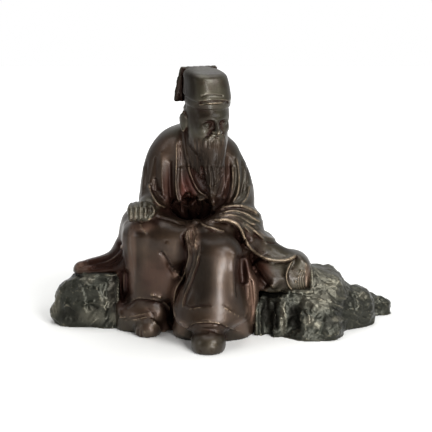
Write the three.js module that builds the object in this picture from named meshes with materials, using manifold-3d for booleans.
// A cast bronze of an old scholar in long robes and a soft cap, seated on rockwork.
// Millimetres, +Z up, the figure faces -Y, the origin is on the ground under the middle of the work.
import * as THREE from "three";
import { ImprovedNoise } from "three/addons/math/ImprovedNoise.js";
import Module from "manifold-3d";

// Sizes of the whole work.
const groundHeight = 0;
const shoulderHeight = 188;
const headHeight = 212;
const capTop = 261;
const rockLeftEnd = -174;
const rockRightEnd = 178;

// The face looks down and to the side.
const headTurn = THREE.MathUtils.degToRad(25);
const headNod = THREE.MathUtils.degToRad(9);
const headCentre = new THREE.Vector3(-15, -12, headHeight);

// The folds are drawn on a board that stands across the line of sight of a person in front of the work.
const sightTilt = THREE.MathUtils.degToRad(13);
const sightDistance = 1050;
const boardCentre = new THREE.Vector3(-5.8, 13, 110);
const boardOrigin = { across: 6, up: -139 };

// Fineness of the carved surface.
const gridStep = 2.2;
const surfaceBand = 9;
const figureTriangles = 7900;
const rockTriangles = 1900;

// Seam between the two castings.
const seamGap = 0.3;

// The forms are laid out around the scholar, and moved by this so that the footprint is centred on the origin.
const footprintShift = { x: 0, y: 12 };

const clamp = (v, lo, hi) => Math.min(hi, Math.max(lo, v));
const smoothStep = (v) => {
  const t = clamp(v, 0, 1);
  return t * t * (3 - 2 * t);
};

// Joins two distances with a fillet of about radius k.
const blend = (a, b, k) => {
  if (k <= 0) return Math.min(a, b);
  const h = Math.max(k - Math.abs(a - b), 0) / k;
  return Math.min(a, b) - h * h * k * 0.25;
};

// Cuts b out of a, with a fillet.
const carve = (a, b, k) => -blend(-a, b, k);

// Distance to a box, used to skip forms that are far away.
const boxDistance = (box, x, y, z) => {
  const dx = Math.max(box[0] - x, x - box[3], 0);
  const dy = Math.max(box[1] - y, y - box[4], 0);
  const dz = Math.max(box[2] - z, z - box[5], 0);
  return Math.sqrt(dx * dx + dy * dy + dz * dz);
};

// An ellipsoid, or a squarer one with a power over 2, that may be turned about Z and nodded about X.
function lump(centre, radii, { power = 2, turn = 0, nod = 0, roll = 0 } = {}) {
  const [cx, cy, cz] = centre;
  const [rx, ry, rz] = radii;
  const reach = Math.max(rx, ry, rz) * 1.25;
  const box = [cx - reach, cy - reach, cz - reach, cx + reach, cy + reach, cz + reach];
  const turned = new THREE.Matrix4().makeRotationFromEuler(new THREE.Euler(nod, roll, turn, "ZYX")).invert();
  const m = turned.elements;
  return (x, y, z) => {
    const far = boxDistance(box, x, y, z);
    if (far > surfaceBand) return far;
    const dx = x - cx;
    const dy = y - cy;
    const dz = z - cz;
    const a = Math.abs(m[0] * dx + m[4] * dy + m[8] * dz) / rx;
    const b = Math.abs(m[1] * dx + m[5] * dy + m[9] * dz) / ry;
    const c = Math.abs(m[2] * dx + m[6] * dy + m[10] * dz) / rz;
    const sum = a ** power + b ** power + c ** power;
    if (sum < 1e-9) return -Math.min(rx, ry, rz);
    const g = sum ** (1 / power);
    const slope = g ** (1 - power);
    const ga = (slope * a ** (power - 1)) / rx;
    const gb = (slope * b ** (power - 1)) / ry;
    const gc = (slope * c ** (power - 1)) / rz;
    return (g - 1) / Math.sqrt(ga * ga + gb * gb + gc * gc);
  };
}

// A rounded limb or roll of cloth through stations [x, y, z, radius], squashed along Y by flat.
function limb(stations, { flat = 1, steps = 4 } = {}) {
  const curve = new THREE.CatmullRomCurve3(stations.map((s) => new THREE.Vector3(s[0], s[1], s[2])));
  const count = (stations.length - 1) * steps;
  const nodes = [];
  for (let i = 0; i <= count; i++) {
    const t = i / count;
    const p = curve.getPoint(t);
    const place = t * (stations.length - 1);
    const first = Math.min(Math.floor(place), stations.length - 2);
    const part = smoothStep(place - first);
    const radius = stations[first][3] * (1 - part) + stations[first + 1][3] * part;
    nodes.push([p.x, p.y, p.z, radius]);
  }
  const box = [1e9, 1e9, 1e9, -1e9, -1e9, -1e9];
  for (const n of nodes) {
    for (let k = 0; k < 3; k++) {
      box[k] = Math.min(box[k], n[k] - n[3]);
      box[k + 3] = Math.max(box[k + 3], n[k] + n[3]);
    }
  }
  return (x, y, z) => {
    const far = boxDistance(box, x, y, z);
    if (far > surfaceBand) return far;
    let best = 1e9;
    for (let i = 0; i < nodes.length - 1; i++) {
      const p = nodes[i];
      const q = nodes[i + 1];
      const ex = q[0] - p[0];
      const ey = q[1] - p[1];
      const ez = q[2] - p[2];
      const length2 = ex * ex + ey * ey + ez * ez;
      const t = clamp(((x - p[0]) * ex + (y - p[1]) * ey + (z - p[2]) * ez) / length2, 0, 1);
      const dx = x - p[0] - t * ex;
      const dy = (y - p[1] - t * ey) / flat;
      const dz = z - p[2] - t * ez;
      const d = Math.sqrt(dx * dx + dy * dy + dz * dz) - (p[3] * (1 - t) + q[3] * t);
      best = Math.min(best, d);
    }
    return best * Math.min(1, flat);
  };
}

// An upright mass built from level rows [z, middle x, middle y, half width, half depth], highest row first.
function column(rows, { power = 2.4, topRound = 3 } = {}) {
  const top = rows[0][0];
  const foot = rows[rows.length - 1][0];
  const tangent = (i, k) => {
    const a = rows[Math.max(i - 1, 0)];
    const b = rows[Math.min(i + 1, rows.length - 1)];
    return (b[k] - a[k]) / (b[0] - a[0]);
  };
  const at = (z) => {
    const h = clamp(z, foot, top);
    let i = 0;
    while (i < rows.length - 2 && h < rows[i + 1][0]) i++;
    const span = rows[i + 1][0] - rows[i][0];
    const t = (h - rows[i][0]) / span;
    const values = [];
    for (let k = 1; k <= 4; k++) {
      const a = rows[i][k];
      const b = rows[i + 1][k];
      const ta = tangent(i, k) * span;
      const tb = tangent(i + 1, k) * span;
      const t2 = t * t;
      const t3 = t2 * t;
      values.push(a * (2 * t3 - 3 * t2 + 1) + ta * (t3 - 2 * t2 + t) + b * (3 * t2 - 2 * t3) + tb * (t3 - t2));
    }
    return values;
  };
  const box = [1e9, 1e9, foot, -1e9, -1e9, top];
  for (const r of rows) {
    box[0] = Math.min(box[0], r[1] - r[3]);
    box[1] = Math.min(box[1], r[2] - r[4]);
    box[3] = Math.max(box[3], r[1] + r[3]);
    box[4] = Math.max(box[4], r[2] + r[4]);
  }
  return (x, y, z) => {
    const far = boxDistance(box, x, y, z);
    if (far > surfaceBand) return far;
    const [cx, cy, rx, ry] = at(z);
    const a = Math.abs(x - cx) / rx;
    const b = Math.abs(y - cy) / ry;
    const sum = a ** power + b ** power;
    let side = -Math.min(rx, ry);
    if (sum > 1e-9) {
      const g = sum ** (1 / power);
      const slope = g ** (1 - power);
      const ga = (slope * a ** (power - 1)) / rx;
      const gb = (slope * b ** (power - 1)) / ry;
      side = (g - 1) / Math.sqrt(ga * ga + gb * gb);
    }
    const end = Math.max(z - top, foot - z);
    return -blend(-side, -end, topRound);
  };
}

// Where a point is seen on the board, in millimetres across and up.
const sightSine = Math.sin(sightTilt);
const sightCosine = Math.cos(sightTilt);
function onBoard(x, y, z) {
  const dx = x - boardCentre.x;
  const dy = y - boardCentre.y;
  const dz = z - boardCentre.z;
  const depth = sightDistance + dy * sightCosine - dz * sightSine;
  const scale = sightDistance / depth;
  return [dx * scale - boardOrigin.across, (dy * sightSine + dz * sightCosine) * scale - boardOrigin.up];
}

// A fold stroke on the board: a ridge (rise over 0) or a groove (rise under 0) of a half width in mm.
// A step stroke is raised on its right hand side, seen along its points, and falls off over the distance fade.
function stroke(points, width, rise, { step = false, fade = 25, back = 20 } = {}) {
  const curve = new THREE.CatmullRomCurve3(points.map((p) => new THREE.Vector3(p[0], p[1], 0)));
  const line = curve.getPoints((points.length - 1) * 5);
  const pad = step ? fade * 2 : width * 2.6;
  const xs = line.map((p) => p.x);
  const ys = line.map((p) => p.y);
  return {
    line,
    width,
    rise,
    step,
    fade,
    back,
    box: [Math.min(...xs) - pad, Math.min(...ys) - pad, Math.max(...xs) + pad, Math.max(...ys) + pad],
  };
}

// The height that the strokes add at a point of the front of the work.
function relief(strokes, x, y, z) {
  const [u, v] = onBoard(x, y, z);
  let sum = 0;
  for (const s of strokes) {
    if (u < s.box[0] || v < s.box[1] || u > s.box[2] || v > s.box[3] || y > s.back) continue;
    let best = 1e9;
    let side = 1;
    let along = 0;
    const last = s.line.length - 1;
    for (let i = 0; i < last; i++) {
      const p = s.line[i];
      const q = s.line[i + 1];
      const ex = q.x - p.x;
      const ey = q.y - p.y;
      const length2 = ex * ex + ey * ey;
      const t = clamp(((u - p.x) * ex + (v - p.y) * ey) / length2, 0, 1);
      const dx = u - p.x - t * ex;
      const dy = v - p.y - t * ey;
      const d2 = dx * dx + dy * dy;
      if (d2 < best) {
        best = d2;
        side = ex * dy - ey * dx < 0 ? 1 : -1;
        along = (i + t) / last;
      }
    }
    const d = Math.sqrt(best);
    const taper = smoothStep(along / 0.12) * smoothStep((1 - along) / 0.12);
    const hidden = smoothStep((s.back - y) / 8);
    if (s.step) {
      const signed = d * side;
      const rising = smoothStep(0.5 + signed / s.width) * Math.exp(-Math.max(signed, 0) / s.fade);
      sum += s.rise * taper * hidden * rising;
    } else {
      sum += s.rise * taper * hidden * Math.exp(-((d / s.width) ** 2));
    }
  }
  return sum;
}

// Each form is one mass of the work with the fillet that joins it to what is listed before it.
const joinAll = (forms) => (x, y, z) => {
  let d = 1e9;
  for (const [shape, fillet] of forms) d = blend(d, shape(x, y, z), fillet);
  return d;
};

// Robed body: trunk, arms, thighs, shins, lap and the draped sleeve.
const trunk = column([
  [206, -20, 9, 16, 15],
  [200, -24, 11, 24, 20],
  [192, -28, 14, 32, 25],
  [180, -28, 17, 40, 29],
  [165, -27, 19, 43, 31],
  [150, -26, 20, 44, 32],
  [135, -26, 21, 46, 32],
  [118, -25, 24, 47, 30],
  [100, -22, 24, 50, 31],
  [60, -22, 22, 60, 31],
  [-8, -24, 20, 66, 31],
], { topRound: 8 });
const leftArm = limb([
  [-46, 16, shoulderHeight - 6, 16],
  [-58.5, 13, 165, 17],
  [-63, 10, 145, 17.2],
  [-65.5, 5, 131, 16.5],
  [-69, -10, 126, 12],
  [-74, -24, 125, 8],
]);
const rightArm = limb([
  [1, 14, 171, 16.5],
  [10, 12, 152, 17.5],
  [14.5, 7, 134, 17.5],
  [15, -4, 120, 16],
  [6, -20, 113, 12],
  [-6, -30, 110, 9],
]);
const leftKnee = lump([-66, -13, 96], [30, 23, 20], { power: 2.6 });
const leftShin = column([
  [98, -62, -12, 32, 22],
  [80, -62, -12, 34, 23],
  [60, -61, -12, 33, 22],
  [42, -60, -12, 31, 21],
  [33, -60, -11, 30, 20],
], { power: 2.6 });
const leftHem = column([
  [44, -64, -9, 28, 18],
  [26, -71, -9, 32, 19],
  [12, -76, -7, 30, 19],
  [-8, -75, -6, 31, 18],
], { power: 2.4 });
const leftThigh = limb([
  [-46, 16, 90, 22],
  [-62, -10, 95, 19],
]);
const rightKnee = lump([-6, -48, 86], [27, 24, 21], { power: 2.2 });
const rightShin = column([
  [90, -8, -43.5, 27, 26],
  [60, -8, -46, 27.5, 27.5],
  [44, -10, -47.5, 33, 27.5],
  [27, -11, -47.5, 37.5, 28],
  [20, -11, -45, 37.5, 27],
], { power: 2.12 });
const rightHem = column([
  [30, -9, -38, 36, 29],
  [14, -10, -32, 38, 24],
  [-8, -9.5, -26, 38.5, 22],
], { power: 2.15 });
const rightThigh = limb([
  [-20, 10, 84, 24],
  [-8, -44, 84, 22],
]);
const lap = lump([-36, -14, 90], [32, 27, 21.5], { power: 3 });
const sideDrape = column([
  [96, 18, -14, 16, 20],
  [70, 20, -14, 15, 20],
  [40, 20, -14, 15, 20],
  [-8, 18, -10, 17, 18],
], { power: 2.5 });
const sleeveBundle = limb([
  [-12, -36, 108, 9],
  [8, -26, 110, 12],
  [26, -8, 107, 14],
]);
const sleeveFall = limb([
  [22, -12, 100, 15],
  [38, -10, 86, 11.8],
  [56, -8, 73.5, 11],
  [76, -6, 64, 7],
]);
const sleeveBag = lump([57.5, -5, 58.5], [28, 19.5, 20.5], { power: 3.5 });
const sleeveEnd = lump([76, -5, 54.5], [12.5, 19, 16.5], { power: 3.4 });
const hip = lump([36, 8, 70], [20, 24, 26], { power: 2.5 });
const tail = limb([
  [-84, 16, 101, 17.5],
  [-93, 18, 80, 14],
  [-108, 19, 61, 12],
  [-128, 19, 55, 10.2],
  [-143, 19, 53, 8],
], { flat: 1.5 });
const tailFall = column([
  [80, -92, 10, 10, 16],
  [40, -96, 13, 9, 20],
  [-8, -97, 13, 9, 21],
]);
const leftInstep = lump([-73, -19, 14], [17, 14, 9], { power: 2.3 });
const rightInstep = lump([-13, -55, 25], [25, 20, 12], { power: 2.3 });
const leftFoot = lump([-73, -24, 6], [13.5, 17, 13], { power: 2.3 });
const rightFoot = lump([-13, -68, 6], [16.5, 21, 14], { power: 2.3 });

// The fist on the knee, with four bent fingers and the thumb.
const fistCentre = [-78, -30, 125];
const palm = lump(fistCentre, [13, 11, 8.5], { power: 2.3 });
const fingers = [];
for (let i = 0; i < 4; i++) {
  const x = fistCentre[0] - 9 + i * 4.6;
  const drop = Math.abs(i - 1.7) * 1.1;
  fingers.push([
    limb([
      [x, fistCentre[1] + 2, fistCentre[2] + 7 - drop, 2.6],
      [x, fistCentre[1] - 9, fistCentre[2] + 5 - drop, 2.7],
      [x, fistCentre[1] - 11, fistCentre[2] - 4, 2.5],
      [x, fistCentre[1] - 6, fistCentre[2] - 8, 2.3],
    ]),
    1.2,
  ]);
}
const thumb = limb([
  [fistCentre[0] + 12, fistCentre[1] + 2, fistCentre[2] + 4, 3.2],
  [fistCentre[0] + 12, fistCentre[1] - 7, fistCentre[2] + 1, 3],
  [fistCentre[0] + 8, fistCentre[1] - 11, fistCentre[2] - 5, 2.6],
]);

// The sash knot and its hanging loop.
const sashKnot = lump([-24, -22, 111], [6, 6, 4]);
const sashLoop = limb([
  [-29, -26, 109, 2],
  [-28, -38, 98, 2],
  [-24, -44, 88, 2],
  [-21, -40, 98, 2],
  [-22, -26, 109, 2],
]);

// Robe folds on the board.
const robeStrokes = [
  // collar, open front and inner lapels
  stroke([[-38, 227], [-36, 211], [-33, 194]], 2.5, -4),
  stroke([[-44, 222], [-46, 190], [-46, 170], [-43, 156], [-30, 144]], 3, 2.6),
  stroke([[-35, 195], [-32, 183], [-27, 170], [-21, 162], [-13, 159]], 2.4, 2.2),
  stroke([[-13, 159], [-22, 155], [-35, 147]], 2.4, 2.2),
  stroke([[-40, 190], [-38, 172], [-32, 158]], 4, -2.5),
  // left sleeve
  stroke([[-60, 208], [-61, 180], [-59, 156]], 4, 1.6),
  stroke([[-53, 200], [-52, 172], [-49, 150]], 3.5, -2.2),
  stroke([[-74, 173], [-70, 160], [-64, 151], [-55, 147]], 2.8, 2.4),
  stroke([[-68, 178], [-64, 164], [-57, 154]], 3, -1.8),
  // right sleeve
  stroke([[14, 202], [17, 180], [16, 165], [9, 151]], 2.8, 2.2),
  stroke([[11, 192], [10, 170], [4, 151]], 2.6, 1.7),
  stroke([[21, 190], [22, 176], [18, 160]], 2.2, -1.5),
  stroke([[29, 172], [25, 158], [17, 149]], 2.8, 2.2),
  stroke([[5, 204], [6, 180], [-1, 158]], 3.5, -2.2),
  // pleats of the hanging sleeve
  stroke([[-13, 142], [3, 148], [18, 149], [32, 144], [41, 137]], 2.2, 2.6),
  stroke([[-10, 139], [6, 144], [20, 144], [33, 137], [42, 131]], 2, 2.2),
  stroke([[-8, 136], [6, 140], [18, 140], [30, 133], [41, 124]], 2, 2.2),
  stroke([[-7, 134], [6, 137], [16, 136], [28, 127], [44, 116]], 2, 1.8),
  // the edge of the sleeve over the lap and down to the rock, and the hollow below it
  stroke(
    [[-17, 133], [3, 134], [13, 131], [18, 123], [23, 112], [32, 103], [44, 96], [58, 94], [70, 96], [76, 101]],
    3, -7, { step: true, fade: 7 },
  ),
  stroke([[54, 64], [46, 73], [38, 83], [31, 94]], 2.4, 3.4, { step: true, fade: 14 }),
  stroke([[26, 104], [32, 90], [39, 78], [48, 68]], 4.5, -6.5),
  stroke([[71, 97], [66, 90], [64, 79], [67, 69], [72, 64]], 2, 1.3),
  // the panels over the shins
  stroke([[-37, 124], [-35, 104], [-38, 85], [-49, 65], [-50, 47], [-48, 28]], 3, -3, { step: true, fade: 9 }),
  stroke([[-63, 106], [-52, 88], [-44, 80]], 4, -3),
  stroke([[-79, 124], [-82, 100], [-84, 70]], 8, 1.6),
  stroke([[-22, 100], [-24, 70], [-30, 45]], 6, -1.6),
  stroke([[14, 106], [12, 84], [13, 54]], 3, 1.3),
  stroke([[20, 100], [20, 84], [22, 70]], 5, -6),
  stroke([[32, 78], [34, 50], [30, 28]], 3, 2),
  // robe folds beside the left shin
  stroke([[-96, 88], [-97, 60], [-94, 50]], 4, -5),
  stroke([[-106, 80], [-106, 50], [-100, 36]], 3, 2),
];
const robeBody = joinAll([
  [trunk, 0],
  [leftArm, 8],
  [rightArm, 8],
  [leftThigh, 10],
  [leftKnee, 8],
  [leftShin, 6],
  [rightThigh, 10],
  [rightKnee, 8],
  [rightShin, 6],
  [lap, 10],
  [leftHem, 2],
  [rightHem, 2],
  [leftInstep, 8],
  [rightInstep, 8],
  [sideDrape, 8],
  [hip, 8],
  [sleeveBundle, 8],
  [sleeveFall, 7],
  [sleeveBag, 5],
  [sleeveEnd, 7],
  [tail, 8],
  [tailFall, 8],
]);
const lapHollow = lump([-30, 3, 122.5], [20, 18, 14], { power: 2.3 });
const robe = (x, y, z) => {
  const d = carve(robeBody(x, y, z), lapHollow(x, y, z), 5);
  return Math.abs(d) > surfaceBand ? d : d - relief(robeStrokes, x, y, z);
};
const handsAndFeet = joinAll([
  [leftFoot, 0],
  [rightFoot, 0],
  [palm, 0],
  ...fingers,
  [thumb, 1.2],
  [sashKnot, 0],
  [sashLoop, 1],
]);

// Head, in its own frame: the face looks along -Y. The face is a plain calm one laid out in equal thirds.
const skullHalf = [21.5, 24.5, 27];
const faceThird = 12.5;
const browLevel = 4;
const noseBase = browLevel - faceThird;
const chinLevel = noseBase - faceThird;
const skull = lump([0, 1, 4], skullHalf);
const jaw = lump([0, -6, -12], [18.5, 14.5, 13]);
const browRidge = limb([
  [-13, -15.5, browLevel - 0.5, 2.6],
  [-6, -21, browLevel + 1.5, 2.8],
  [0, -22.5, browLevel, 2.6],
  [6, -21, browLevel + 1.5, 2.8],
  [13, -15.5, browLevel - 0.5, 2.6],
]);
const nose = limb([
  [0, -23, browLevel - 1, 1.9],
  [0, -26.5, noseBase + 5, 2.3],
  [0, -28.5, noseBase + 2.5, 2.8],
]);
const nostril = (side) => lump([side * 3, -25.5, noseBase + 2], [2.4, 2.6, 2]);
const eyeLevel = browLevel - 4;
const socket = (side) => lump([side * 7.8, -24, eyeLevel], [6, 5.5, 3.8]);
const eyelid = (side) => lump([side * 7.8, -19.2, eyeLevel - 0.4], [4.4, 3.2, 2.6]);
const cheek = (side) => lump([side * 10, -15.5, noseBase + 3], [6, 5.5, 6]);
const mouthLevel = noseBase - faceThird * 0.4;
const lips = lump([0, -22.8, mouthLevel], [4.6, 2.6, 1.9]);
const moustache = (side) => limb([
  [side * 1, -25.2, noseBase - 1.5, 1.8],
  [side * 6, -22.5, noseBase - 4, 1.8],
  [side * 8.5, -20, noseBase - 12, 1.5],
  [side * 8, -19, noseBase - 19, 1],
]);
const ear = (side) => lump([side * 22.8, 2.5, -3], [2.8, 5.5, 10.5], { power: 2.3, turn: side * -0.35 });
const beardFull = lump([0, -7.5, chinLevel + 2], [19, 14.5, 15], { power: 2.3 });
const capLow = 21.7;
const capShell = column([
  [45, -2.8, 4, 18, 18],
  [41, -2.5, 3, 19.6, 20],
  [32, -1.6, 1, 20.5, 21.8],
  [capLow, -0.8, 0, 21, 24.5],
  [capLow - 2, -0.8, 0, 20.6, 24],
], { power: 2.6, topRound: 4 });
const headBand = column([
  [capLow + 1, 0, 0, 21, 23],
  [capLow - 8, 0, 0.5, 21, 23.2],
], { power: 2.3, topRound: 2 });
const capFlap = column([
  [45, -1, 22, 19, 3.2],
  [30, -1, 25, 21, 3.2],
  [10, -1, 28, 22, 3.4],
], { power: 4, topRound: 2 });
const faceForms = joinAll([
  [skull, 0],
  [jaw, 6],
  [cheek(-1), 5],
  [cheek(1), 5],
  [browRidge, 2.5],
]);
const sockets = joinAll([
  [socket(-1), 0],
  [socket(1), 0],
]);
const hollowedFace = (x, y, z) => carve(faceForms(x, y, z), sockets(x, y, z), 2.5);
const headForms = joinAll([
  [hollowedFace, 0],
  [eyelid(-1), 0.8],
  [eyelid(1), 0.8],
  [nose, 1.5],
  [nostril(-1), 1],
  [nostril(1), 1],
  [ear(-1), 1],
  [ear(1), 1],
  [beardFull, 2.5],
  [lips, 0.8],
  [moustache(-1), 1],
  [moustache(1), 1],
  [headBand, 1],
  [capShell, 0.5],
  [capFlap, 1],
]);
const headFrame = new THREE.Matrix4()
  .makeTranslation(headCentre)
  .multiply(new THREE.Matrix4().makeRotationZ(headTurn))
  .multiply(new THREE.Matrix4().makeRotationX(headNod));
const intoHead = headFrame.clone().invert().elements;
const headBox = [-55, -55, 172, 22, 35, 275];
const head = (x, y, z) => {
  const far = boxDistance(headBox, x, y, z);
  if (far > surfaceBand) return far;
  const m = intoHead;
  return headForms(
    m[0] * x + m[4] * y + m[8] * z + m[12],
    m[1] * x + m[5] * y + m[9] * z + m[13],
    m[2] * x + m[6] * y + m[10] * z + m[14],
  );
};

// The masses run on a little below the ground, where they are cut off flat afterwards.
const cutDepth = -5;
const neck = limb([
  [-18, 2, 180, 15],
  [-17, -4, 205, 14],
]);
const longBeard = limb([
  [-10, -24, 186, 14],
  [-9, -25, 172, 11.5],
  [-8, -25, 156, 9.5],
  [-8, -24, 142, 6.5],
  [-9, -23, 130, 2.5],
], { flat: 0.7 });

// Locks that hang from the jaw beside the long beard, the outer ones shorter.
const sideLocks = [0, 1, 2, 3].map((i) => [
  limb([
    [-35 + i * 4.5, -6 - i * 3.2, 197 - i * 2, 4],
    [-34 + i * 4, -10 - i * 3.4, 186 - i * 3, 4.2],
    [-33 + i * 4.2, -14 - i * 2.6, 176 - i * 4, 3.2],
    [-31 + i * 3.6, -15 - i * 2.6, 167 - i * 4, 1.4],
  ]),
  1.5,
]);
const beardStrokes = [-18, -14, -9.5, -5, -1.5].map((u) =>
  stroke([[u * 1.15, 190], [u, 178], [u * 0.9 - 0.5, 164], [u * 0.55 - 4.5, 153]], 1.7, -1.6));
const headAndBeard = joinAll([
  [head, 0],
  [neck, 4],
  [longBeard, 5],
  ...sideLocks,
]);
const upper = (x, y, z) => {
  const d = headAndBeard(x, y, z);
  return Math.abs(d) > surfaceBand || z > headHeight - 16 ? d : d - relief(beardStrokes, x, y, z);
};

// The seam between the two castings follows a few level and upright planes. The figure goes down to the
// ground in the middle of the front, and lies over the rock at the back and under its tail and sleeve.
const seam = {
  left: -104,
  right: 34,
  back: 32,
  backLevel: 60,
  leftLevel: 52,
  rightLevel: 43,
  rightEnd: 88,
  sideBack: 42,
};

// Rockwork: low weathered lumps left and right, joined by a ridge behind the robe.
const leftRock = joinAll([
  [lump([-125, 14, 14], [45, 24, 41], { power: 2.5 }), 0],
  [lump([-154, 13, 12], [15, 18, 29], { power: 2.2 }), 6],
  [lump([-159, 9, 8], [16, 14, 13]), 5],
  [lump([-112, 2, 6], [20, 14, 26], { power: 2.4 }), 5],
  [lump([-112, 26, 16], [30, 26, 34], { power: 2.6 }), 8],
]);
const rightRock = joinAll([
  [lump([92, 4, 22], [38.5, 34, 40.5], { power: 2.5 }), 0],
  [lump([127, 16, 10], [28.5, 29, 29.5], { power: 2.3 }), 8],
  [lump([157, 41, 6], [22, 14, 14], { power: 2.4 }), 7],
  [lump([91, -22, 4], [31, 28, 30], { power: 2.4 }), 8],
  [lump([54, -12, 4], [26, 26, 36], { power: 2.5 }), 8],
]);
const backRock = joinAll([
  [lump([-70, 34, 14], [42, 24, 47], { power: 2.6 }), 0],
  [lump([-15, 38, 14], [46, 24, 47], { power: 2.6 }), 10],
  [lump([42, 34, 14], [42, 26, 46], { power: 2.5 }), 10],
]);
const rockNoise = new ImprovedNoise();
const roughness = (x, y, z) => {
  const broad = rockNoise.noise(x / 21, y / 21, z / 17);
  const ridged = 1 - Math.abs(rockNoise.noise(x / 16 + 9, y / 16 + 4, z / 18 + 2)) * 3;
  return broad * 5 + ridged * 1.4 - 0.7;
};
const rockHollows = joinAll([
  [lump([44, -36, 14], [5, 9, 24]), 0],
  [lump([70, -45, 15], [6, 9, 9]), 0],
]);
const rock = (x, y, z) => {
  let d = blend(blend(leftRock(x, y, z), rightRock(x, y, z), 8), backRock(x, y, z), 10);
  if (Math.abs(d) <= surfaceBand) d = carve(d - roughness(x, y, z) * 0.8, rockHollows(x, y, z), 4);
  return Math.max(d, cutDepth - z);
};

const scholar = (x, y, z) => {
  const body = Math.min(blend(robe(x, y, z), upper(x, y, z), 2), handsAndFeet(x, y, z));
  return Math.max(body, cutDepth - z);
};

// Turns a distance field into a closed mesh: every grid cube is parted into six tetrahedra.
function polygonise(field, low, high, step) {
  const size = low.map((v, i) => Math.ceil((high[i] - v) / step) + 1);
  const [nx, ny, nz] = size;
  const values = new Float32Array(nx * ny * nz);
  const index = (i, j, k) => (k * ny + j) * nx + i;
  const block = 4;
  const reach = block * step * 0.87;
  for (let k = 0; k < nz; k += block) {
    for (let j = 0; j < ny; j += block) {
      for (let i = 0; i < nx; i += block) {
        const half = (block * step) / 2;
        const near = field(low[0] + i * step + half, low[1] + j * step + half, low[2] + k * step + half);
        const solve = Math.abs(near) < reach + surfaceBand;
        for (let c = k; c < Math.min(k + block, nz); c++) {
          for (let b = j; b < Math.min(j + block, ny); b++) {
            for (let a = i; a < Math.min(i + block, nx); a++) {
              const value = solve ? field(low[0] + a * step, low[1] + b * step, low[2] + c * step) : near;
              values[index(a, b, c)] = value;
            }
          }
        }
      }
    }
  }
  const corners = [0, 1, nx, nx + 1, nx * ny, nx * ny + 1, nx * ny + nx, nx * ny + nx + 1];
  const tetrahedra = [[0, 1, 3, 7], [0, 3, 2, 7], [0, 2, 6, 7], [0, 6, 4, 7], [0, 4, 5, 7], [0, 5, 1, 7]];
  const positions = [];
  const triangles = [];
  const known = new Map();
  const place = (n) => {
    const i = n % nx;
    const j = Math.floor(n / nx) % ny;
    const k = Math.floor(n / (nx * ny));
    return [low[0] + i * step, low[1] + j * step, low[2] + k * step];
  };
  const crossing = (a, b) => {
    const lo = Math.min(a, b);
    const hi = Math.max(a, b);
    const key = lo * 8 + corners.indexOf(hi - lo);
    if (known.has(key)) return known.get(key);
    const t = clamp(values[lo] / (values[lo] - values[hi]), 0.04, 0.96);
    const p = place(lo);
    const q = place(hi);
    positions.push(p[0] + (q[0] - p[0]) * t, p[1] + (q[1] - p[1]) * t, p[2] + (q[2] - p[2]) * t);
    const id = positions.length / 3 - 1;
    known.set(key, id);
    return id;
  };
  for (let k = 0; k < nz - 1; k++) {
    for (let j = 0; j < ny - 1; j++) {
      for (let i = 0; i < nx - 1; i++) {
        const base = index(i, j, k);
        let inside = 0;
        for (const c of corners) inside += values[base + c] < 0 ? 1 : 0;
        if (inside === 0 || inside === 8) continue;
        for (const tetra of tetrahedra) {
          const ids = tetra.map((c) => base + corners[c]);
          const within = [0, 1, 2, 3].filter((n) => values[ids[n]] < 0);
          if (within.length === 0 || within.length === 4) continue;
          const without = [0, 1, 2, 3].filter((n) => values[ids[n]] >= 0);
          if (within.length === 1 || within.length === 3) {
            const apex = within.length === 1 ? within[0] : without[0];
            const rest = [[1, 2, 3], [0, 3, 2], [0, 1, 3], [0, 2, 1]][apex];
            const face = rest.map((n) => crossing(ids[apex], ids[n]));
            if (within.length === 1) triangles.push(face[0], face[1], face[2]);
            else triangles.push(face[0], face[2], face[1]);
          } else {
            const [a, b] = within;
            const [c, d] = without;
            const quad = [[a, c], [a, d], [b, d], [b, c]].map(([from, to]) => crossing(ids[from], ids[to]));
            const order = [a, b, c, d];
            const swapsFrom = (v, n) => order.slice(n + 1).filter((w) => w < v).length;
            const swaps = order.reduce((sum, v, n) => sum + swapsFrom(v, n), 0);
            if (swaps % 2 === 0) triangles.push(quad[0], quad[1], quad[2], quad[0], quad[2], quad[3]);
            else triangles.push(quad[0], quad[2], quad[1], quad[0], quad[3], quad[2]);
          }
        }
      }
    }
  }
  return { positions, triangles };
}

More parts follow.
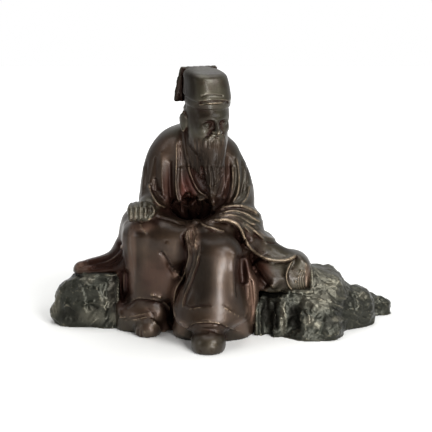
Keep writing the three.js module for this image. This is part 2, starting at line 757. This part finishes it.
// Collapses the edges that change the surface least until the wanted number of triangles is left.
// A larger care value at a place keeps it finer.
function simplify(mesh, target, care) {
  const pos = Float64Array.from(mesh.positions);
  const tri = Int32Array.from(mesh.triangles);
  const vertexCount = pos.length / 3;
  const triCount = tri.length / 3;
  const around = Array.from({ length: vertexCount }, () => []);
  for (let t = 0; t < triCount; t++) for (let c = 0; c < 3; c++) around[tri[t * 3 + c]].push(t);
  const quadric = new Float64Array(vertexCount * 10);
  const plane = new Float64Array(4);
  const facePlane = (a, b, c) => {
    const ux = pos[b * 3] - pos[a * 3];
    const uy = pos[b * 3 + 1] - pos[a * 3 + 1];
    const uz = pos[b * 3 + 2] - pos[a * 3 + 2];
    const vx = pos[c * 3] - pos[a * 3];
    const vy = pos[c * 3 + 1] - pos[a * 3 + 1];
    const vz = pos[c * 3 + 2] - pos[a * 3 + 2];
    const nx = uy * vz - uz * vy;
    const ny = uz * vx - ux * vz;
    const nz = ux * vy - uy * vx;
    const length = Math.sqrt(nx * nx + ny * ny + nz * nz);
    if (length < 1e-12) return 0;
    plane[0] = nx / length;
    plane[1] = ny / length;
    plane[2] = nz / length;
    plane[3] = -(plane[0] * pos[a * 3] + plane[1] * pos[a * 3 + 1] + plane[2] * pos[a * 3 + 2]);
    return length / 2;
  };
  const addPlane = (v, weight) => {
    let n = v * 10;
    for (let i = 0; i < 4; i++) for (let j = i; j < 4; j++) quadric[n++] += weight * plane[i] * plane[j];
  };
  for (let t = 0; t < triCount; t++) {
    const [a, b, c] = [tri[t * 3], tri[t * 3 + 1], tri[t * 3 + 2]];
    const area = facePlane(a, b, c);
    if (area === 0) continue;
    for (const v of [a, b, c]) addPlane(v, area * care(pos[v * 3], pos[v * 3 + 1], pos[v * 3 + 2]));
  }
  // a weak pull to the vertex's own place keeps flat areas even
  const pull = 0.002;
  for (let v = 0; v < vertexCount; v++) {
    for (let axis = 0; axis < 3; axis++) {
      plane.fill(0);
      plane[axis] = 1;
      plane[3] = -pos[v * 3 + axis];
      addPlane(v, pull);
    }
  }
  const cost = (q, x, y, z) =>
    q[0] * x * x + 2 * q[1] * x * y + 2 * q[2] * x * z + 2 * q[3] * x + q[4] * y * y + 2 * q[5] * y * z +
    2 * q[6] * y + q[7] * z * z + 2 * q[8] * z + q[9];
  const best = (a, b) => {
    const q = new Float64Array(10);
    for (let i = 0; i < 10; i++) q[i] = quadric[a * 10 + i] + quadric[b * 10 + i];
    // the place where the two sums of squared distances together are least, by Cramer's rule
    const minor = (i, j, k, l) => q[i] * q[j] - q[k] * q[l];
    const det = q[0] * minor(4, 7, 5, 5) - q[1] * minor(1, 7, 5, 2) + q[2] * minor(1, 5, 4, 2);
    const middle = [0, 1, 2].map((k) => (pos[a * 3 + k] + pos[b * 3 + k]) / 2);
    const options = [middle, [0, 1, 2].map((k) => pos[a * 3 + k]), [0, 1, 2].map((k) => pos[b * 3 + k])];
    if (Math.abs(det) > 1e-9) {
      const x = (-q[3] * minor(4, 7, 5, 5) + q[6] * minor(1, 7, 2, 5) - q[8] * minor(1, 5, 2, 4)) / det;
      const y = (q[3] * minor(1, 7, 2, 5) - q[6] * minor(0, 7, 2, 2) + q[8] * minor(0, 5, 1, 2)) / det;
      const z = (-q[3] * minor(1, 5, 2, 4) + q[6] * minor(0, 5, 1, 2) - q[8] * minor(0, 4, 1, 1)) / det;
      const shift = Math.hypot(x - middle[0], y - middle[1], z - middle[2]);
      const edge = Math.hypot(...[0, 1, 2].map((k) => pos[a * 3 + k] - pos[b * 3 + k]));
      if (shift < edge * 1.5) options.unshift([x, y, z]);
    }
    let choice = null;
    for (const p of options) {
      const value = cost(q, ...p);
      if (!choice || value < choice.value) choice = { value, p };
    }
    return choice;
  };
  const heap = [];
  const push = (item) => {
    heap.push(item);
    let i = heap.length - 1;
    while (i > 0) {
      const up = (i - 1) >> 1;
      if (heap[up].value <= heap[i].value) break;
      [heap[up], heap[i]] = [heap[i], heap[up]];
      i = up;
    }
  };
  const pop = () => {
    const top = heap[0];
    const last = heap.pop();
    if (heap.length) {
      heap[0] = last;
      let i = 0;
      for (;;) {
        let next = 2 * i + 1;
        if (next >= heap.length) break;
        if (next + 1 < heap.length && heap[next + 1].value < heap[next].value) next++;
        if (heap[i].value <= heap[next].value) break;
        [heap[i], heap[next]] = [heap[next], heap[i]];
        i = next;
      }
    }
    return top;
  };
  const stamp = new Int32Array(vertexCount);
  const queue = (a, b) => {
    const { value, p } = best(a, b);
    push({ value, p, a, b, sa: stamp[a], sb: stamp[b] });
  };
  for (let t = 0; t < triCount; t++) {
    for (let c = 0; c < 3; c++) {
      const a = tri[t * 3 + c];
      const b = tri[t * 3 + ((c + 1) % 3)];
      if (a < b) queue(a, b);
    }
  }
  const neighbours = (v) => {
    const set = new Set();
    for (const t of around[v]) for (let c = 0; c < 3; c++) if (tri[t * 3 + c] !== v) set.add(tri[t * 3 + c]);
    return set;
  };
  const flips = (v, other, p) => {
    for (const t of around[v]) {
      const ids = [tri[t * 3], tri[t * 3 + 1], tri[t * 3 + 2]];
      if (ids.includes(other)) continue;
      const oldArea = facePlane(...ids);
      const before = [plane[0], plane[1], plane[2]];
      const keep = [pos[v * 3], pos[v * 3 + 1], pos[v * 3 + 2]];
      [pos[v * 3], pos[v * 3 + 1], pos[v * 3 + 2]] = p;
      const area = facePlane(...ids);
      const turned = before[0] * plane[0] + before[1] * plane[1] + before[2] * plane[2];
      [pos[v * 3], pos[v * 3 + 1], pos[v * 3 + 2]] = keep;
      if (area < 0.02 || (oldArea > 1e-4 && turned < 0.25)) return true;
    }
    return false;
  };
  const alive = new Uint8Array(triCount).fill(1);
  let left = triCount;
  while (left > target && heap.length) {
    const item = pop();
    const { a, b, p } = item;
    if (stamp[a] !== item.sa || stamp[b] !== item.sb) continue;
    const ring = neighbours(a);
    let shared = 0;
    for (const v of neighbours(b)) if (ring.has(v)) shared++;
    if (shared !== 2 || flips(a, b, p) || flips(b, a, p)) continue;
    [pos[a * 3], pos[a * 3 + 1], pos[a * 3 + 2]] = p;
    for (let i = 0; i < 10; i++) quadric[a * 10 + i] += quadric[b * 10 + i];
    for (const t of around[b]) {
      const ids = [tri[t * 3], tri[t * 3 + 1], tri[t * 3 + 2]];
      if (ids.includes(a)) {
        alive[t] = 0;
        left--;
        for (const v of ids) if (v !== b) around[v] = around[v].filter((n) => n !== t);
      } else {
        for (let c = 0; c < 3; c++) if (tri[t * 3 + c] === b) tri[t * 3 + c] = a;
        around[a].push(t);
      }
    }
    around[b] = [];
    stamp[b] = -1;
    stamp[a]++;
    for (const v of neighbours(a)) queue(a, v);
  }
  const renumber = new Map();
  const positions = [];
  const triangles = [];
  for (let t = 0; t < triCount; t++) {
    if (!alive[t]) continue;
    for (let c = 0; c < 3; c++) {
      const v = tri[t * 3 + c];
      if (!renumber.has(v)) {
        renumber.set(v, positions.length / 3);
        positions.push(pos[v * 3], pos[v * 3 + 1], pos[v * 3 + 2]);
      }
      triangles.push(renumber.get(v));
    }
  }
  return { positions, triangles };
}

const wasm = await Module();
wasm.setup();
const solidOf = ({ positions, triangles }) =>
  new wasm.Manifold(
    new wasm.Mesh({
      numProp: 3,
      vertProperties: Float32Array.from(positions),
      triVerts: Uint32Array.from(triangles),
    }),
  );

// An upright block between two corners.
function blockSolid(low, high) {
  const positions = [];
  for (let n = 0; n < 8; n++) {
    positions.push(n & 1 ? high[0] : low[0], n & 2 ? high[1] : low[1], n & 4 ? high[2] : low[2]);
  }
  const sides = [[0, 2, 3, 1], [4, 5, 7, 6], [0, 1, 5, 4], [2, 6, 7, 3], [0, 4, 6, 2], [1, 3, 7, 5]];
  const triangles = sides.flatMap(([a, b, c, d]) => [a, b, c, a, c, d]);
  return solidOf({ positions, triangles });
}

// The space of the figure's casting, and with a grow over 0 the space that the rock leaves free for it.
const beyond = 400;
function figureSpace(grow) {
  const overlap = 1 + grow;
  const left = seam.left - grow;
  const right = seam.right + grow;
  const sideBack = seam.sideBack + grow;
  const frontColumn = blockSolid([left, -beyond, -beyond], [right, seam.back + grow, beyond]);
  const overBack = blockSolid([left, -beyond, seam.backLevel - grow], [right, beyond, beyond]);
  const leftCorner = [seam.left + overlap, sideBack, beyond];
  const overLeft = blockSolid([-beyond, -beyond, seam.leftLevel - grow], leftCorner);
  const rightCorner = [seam.right - overlap, -beyond, seam.rightLevel - grow];
  const overRight = blockSolid(rightCorner, [seam.rightEnd + grow, sideBack, beyond]);
  return frontColumn.add(overBack).add(overLeft).add(overRight);
}

// The head, the fist and the feet keep more of their detail than the robe.
const detailCare = (x, y, z) => {
  if (z > 190 && z < 232 && y < -14 && x > -40) return 24;
  if (z > 186 && Math.abs(x - headCentre.x) < 34) return 6;
  if (z > 112 && y < -18 && x < -62) return 8;
  if (z < 22 && y < -20 && x < 10) return 3;
  return 1;
};
const gridLow = [rockLeftEnd - 14, -98, cutDepth - 8];
const gridHigh = [rockRightEnd + 14, 74, capTop + 10];
const rockHigh = [gridHigh[0], gridHigh[1], 80];
const figureMesh = simplify(polygonise(scholar, gridLow, gridHigh, gridStep), figureTriangles, detailCare);
const rockMesh = simplify(polygonise(rock, gridLow, rockHigh, gridStep), rockTriangles, () => 1);
const aboveGround = blockSolid([-beyond, -beyond, groundHeight], [beyond, beyond, beyond]);
const figureSolid = solidOf(figureMesh).intersect(aboveGround).intersect(figureSpace(0));
const rockSolid = solidOf(rockMesh).intersect(aboveGround).subtract(figureSpace(seamGap));

// The triangles of the largest joined body, without the crumbs that a seam plane may cut off a fold.
function largestBody(triangles, vertexCount) {
  const leader = Array.from({ length: vertexCount }, (_, i) => i);
  const lead = (v) => {
    while (leader[v] !== v) v = leader[v];
    return v;
  };
  for (let i = 0; i < triangles.length; i += 3) {
    const first = lead(triangles[i]);
    leader[lead(triangles[i + 1])] = first;
    leader[lead(triangles[i + 2])] = first;
  }
  const sizes = new Map();
  for (let i = 0; i < triangles.length; i += 3) {
    const name = lead(triangles[i]);
    sizes.set(name, (sizes.get(name) ?? 0) + 1);
  }
  const main = [...sizes.keys()].reduce((a, b) => (sizes.get(a) >= sizes.get(b) ? a : b));
  return triangles.filter((_, i) => lead(triangles[i - (i % 3)]) === main);
}

function geometryOf(solid) {
  const mesh = solid.getMesh();
  const geometry = new THREE.BufferGeometry();
  const count = mesh.vertProperties.length / mesh.numProp;
  const positions = [];
  const renumber = new Map();
  const index = largestBody(Array.from(mesh.triVerts), count).map((v) => {
    if (!renumber.has(v)) {
      renumber.set(v, renumber.size);
      for (let k = 0; k < 3; k++) positions.push(mesh.vertProperties[v * mesh.numProp + k]);
    }
    return renumber.get(v);
  });
  geometry.setAttribute("position", new THREE.Float32BufferAttribute(positions, 3));
  geometry.setIndex(index);
  return geometry;
}

const brownPatina = new THREE.MeshStandardMaterial({ color: 0x4a3a34, roughness: 0.42, metalness: 0.9 });
const darkPatina = new THREE.MeshStandardMaterial({ color: 0x2f3230, roughness: 0.5, metalness: 0.85 });

const sculpture = new THREE.Group();
const figure = new THREE.Mesh(geometryOf(figureSolid), brownPatina);
figure.name = "seated_scholar";
const base = new THREE.Mesh(geometryOf(rockSolid), darkPatina);
base.name = "rock_base";
for (const casting of [figure, base]) {
  casting.position.set(footprintShift.x, footprintShift.y, 0);
  sculpture.add(casting);
}

export default sculpture;
